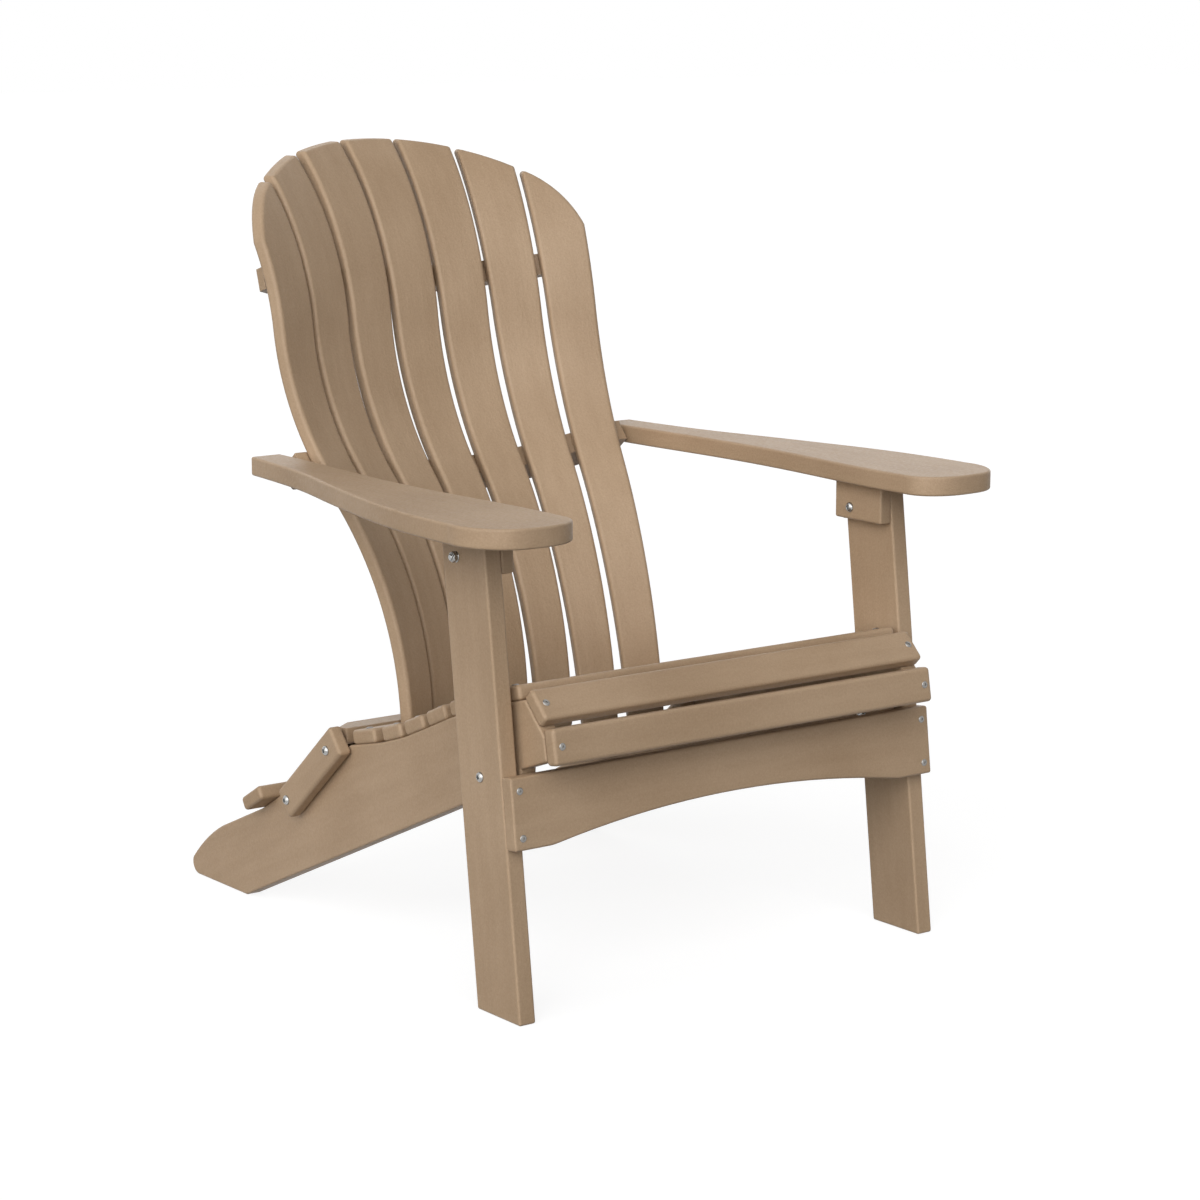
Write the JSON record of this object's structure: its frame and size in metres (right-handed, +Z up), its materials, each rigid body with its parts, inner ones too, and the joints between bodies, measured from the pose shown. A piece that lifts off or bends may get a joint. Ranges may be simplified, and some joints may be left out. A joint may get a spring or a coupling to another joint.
{
  "type": "folding adirondack chair",
  "caption": "Slatted poly lumber garden armchair with a raked fan back, wide arms and a folding bolted frame.",
  "frame": {"origin": "centre of the bounding box on the floor", "axes": "+X to the sitter's left, -Y the way the chair faces, +Z up"},
  "size_m": [0.818, 0.896, 1.0116],
  "materials": {
    "poly_lumber": "matte tan poly lumber with a fine moulded texture",
    "stainless": "satin stainless steel",
    "spacer": "dark moulded nylon"
  },
  "bodies": {
    "seat": {"left_stringer": "poly_lumber", "link_foot_bolts": "stainless", "link_foot_nuts": "stainless", "rear_stretcher": "poly_lumber", "right_stringer": "poly_lumber", "seat_slat_1": "poly_lumber", "seat_slat_2": "poly_lumber", "seat_slat_3": "poly_lumber", "seat_slat_4": "poly_lumber", "seat_slat_5": "poly_lumber", "seat_slat_6": "poly_lumber", "seat_slat_7": "poly_lumber", "seat_slat_8": "poly_lumber", "seat_slat_9": "poly_lumber", "seat_slat_screws": "stainless", "stretcher_screws": "stainless"},
    "leg_frame": {"left_front_leg": "poly_lumber", "right_front_leg": "poly_lumber", "front_apron": "poly_lumber", "apron_screws": "stainless", "leg_pivot_bolts": "stainless", "leg_pivot_nuts": "stainless", "leg_spacers": "spacer", "arm_pivot_bolts": "stainless", "arm_pivot_nuts": "stainless"},
    "left_arm_body": {"left_arm": "poly_lumber", "left_arm_block": "poly_lumber", "left_arm_block_screws": "stainless", "left_arm_pin": "stainless"},
    "left_link": {"left_rear_link": "poly_lumber"},
    "right_arm_body": {"right_arm": "poly_lumber", "right_arm_block": "poly_lumber", "right_arm_block_screws": "stainless", "right_arm_pin": "stainless"},
    "right_link": {"right_rear_link": "poly_lumber"},
    "back": {"back_arm_rail": "poly_lumber", "back_rail_screws": "stainless", "back_slat_1": "poly_lumber", "back_slat_2": "poly_lumber", "back_slat_3": "poly_lumber", "back_slat_4": "poly_lumber", "back_slat_5": "poly_lumber", "back_slat_6": "poly_lumber", "back_slat_7": "poly_lumber", "hinge_cleat_screws": "stainless", "left_hinge_cleat": "poly_lumber", "link_top_bolts": "stainless", "link_top_nuts": "stainless", "lower_back_rail": "poly_lumber", "right_hinge_cleat": "poly_lumber", "upper_back_rail": "poly_lumber"}
  },
  "joints": [
    {"name": "leg_fold", "type": "hinge", "parent": "seat", "child": "leg_frame", "pos_m": [0, -0.31654, 0.2918], "axis": [1, 0, 0], "range_deg": [0, 65]},
    {"name": "left_arm_fold", "type": "hinge", "parent": "leg_frame", "child": "left_arm_body", "pos_m": [0.3, -0.26868, 0.553], "axis": [1, 0, 0], "range_deg": [-49.67, 0]},
    {"name": "right_arm_fold", "type": "hinge", "parent": "leg_frame", "child": "right_arm_body", "pos_m": [-0.3, -0.26868, 0.553], "axis": [1, 0, 0], "range_deg": [-49.67, 0]},
    {"name": "left_link_swing", "type": "hinge", "parent": "seat", "child": "left_link", "pos_m": [0.31, 0.15226, 0.166], "axis": [1, 0, 0], "range_deg": [-23.58, 0]},
    {"name": "right_link_swing", "type": "hinge", "parent": "seat", "child": "right_link", "pos_m": [-0.31, 0.15226, 0.166], "axis": [1, 0, 0], "range_deg": [-23.58, 0]},
    {"name": "back_fold", "type": "hinge", "parent": "left_link", "child": "back", "pos_m": [0, 0.05226, 0.252], "axis": [1, 0, 0], "range_deg": [0, 77.07]}
  ],
  "couplings": [
    {"joint": "left_arm_fold", "follows": "leg_fold", "ratio": -0.7642},
    {"joint": "right_arm_fold", "follows": "leg_fold", "ratio": -0.7642},
    {"joint": "left_link_swing", "follows": "leg_fold", "ratio": -0.3628},
    {"joint": "right_link_swing", "follows": "leg_fold", "ratio": -0.3628},
    {"joint": "back_fold", "follows": "leg_fold", "ratio": 1.1857}
  ]
}
